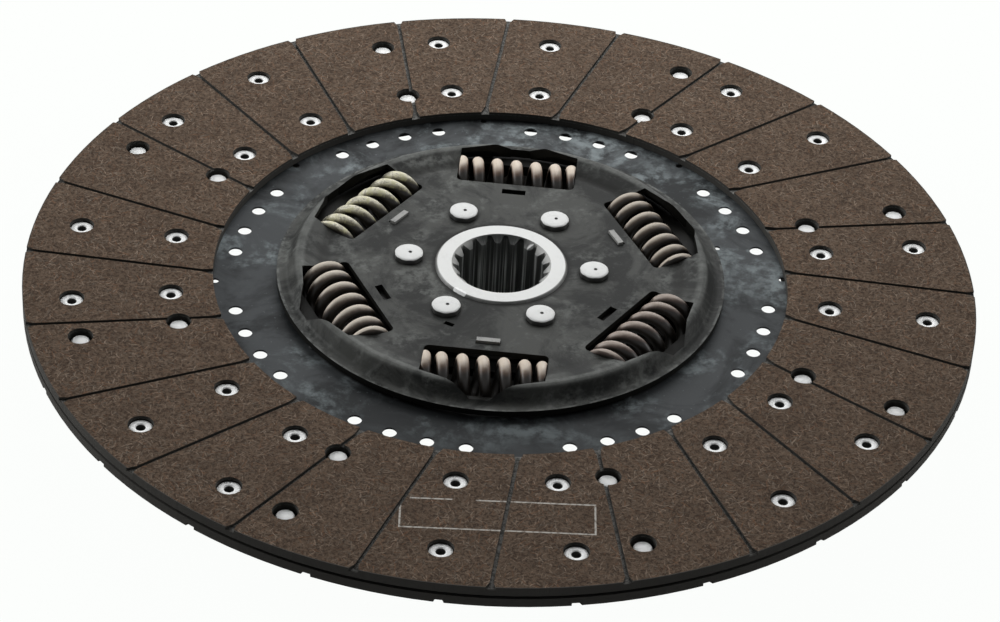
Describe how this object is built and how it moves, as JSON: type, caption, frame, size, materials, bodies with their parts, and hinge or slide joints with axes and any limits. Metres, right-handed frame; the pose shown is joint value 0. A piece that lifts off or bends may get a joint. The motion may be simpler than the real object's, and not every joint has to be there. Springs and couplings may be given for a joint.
{
  "type": "clutch disc",
  "caption": "Friction disc of a dry clutch: grooved riveted facings on a thin cushion plate round a splined hub with coil-spring torsion damper windows.",
  "frame": {"origin": "centre of the hub's lower end face, on the hub axis", "axes": "+Z along the hub axis towards the side with the short end of the hub"},
  "size_m": [0.43, 0.43, 0.0462],
  "materials": {
    "friction_lining": "matte",
    "rivet_metal": "satin",
    "plate_steel": "satin",
    "cover_steel": "satin",
    "turned_steel": "turned",
    "hub_rivet_steel": "satin",
    "spring_steel": "satin",
    "friction_ring": "matte"
  },
  "bodies": {
    "hub_assembly": {"hub": "turned_steel", "cover_plate_upper": "cover_steel", "cover_plate_lower": "cover_steel", "hub_rivets": "hub_rivet_steel", "friction_ring_upper": "friction_ring", "friction_ring_lower": "friction_ring", "pressure_ring": "plate_steel", "support_ring": "plate_steel", "disc_spring": "spring_steel", "damper_spring_1": "spring_steel", "damper_spring_2": "spring_steel", "damper_spring_3": "spring_steel", "damper_spring_4": "spring_steel", "damper_spring_5": "spring_steel", "damper_spring_6": "spring_steel"},
    "facing_assembly": {"driver_disc": "plate_steel", "cushion_plate": "plate_steel", "carrier_rivets": "plate_steel", "facing_upper": "friction_lining", "facing_lower": "friction_lining", "facing_rivets_upper": "rivet_metal", "facing_rivets_lower": "rivet_metal"}
  },
  "joints": [
    {"name": "damper_twist", "type": "hinge", "parent": "hub_assembly", "child": "facing_assembly", "pos_m": [0, 0, 0.034], "axis": [0, 0, 1], "range_deg": [-7, 7], "stiffness_Nm_per_rad": 8900, "deforming": ["damper_spring_1", "damper_spring_2", "damper_spring_3", "damper_spring_4", "damper_spring_5", "damper_spring_6"]}
  ]
}
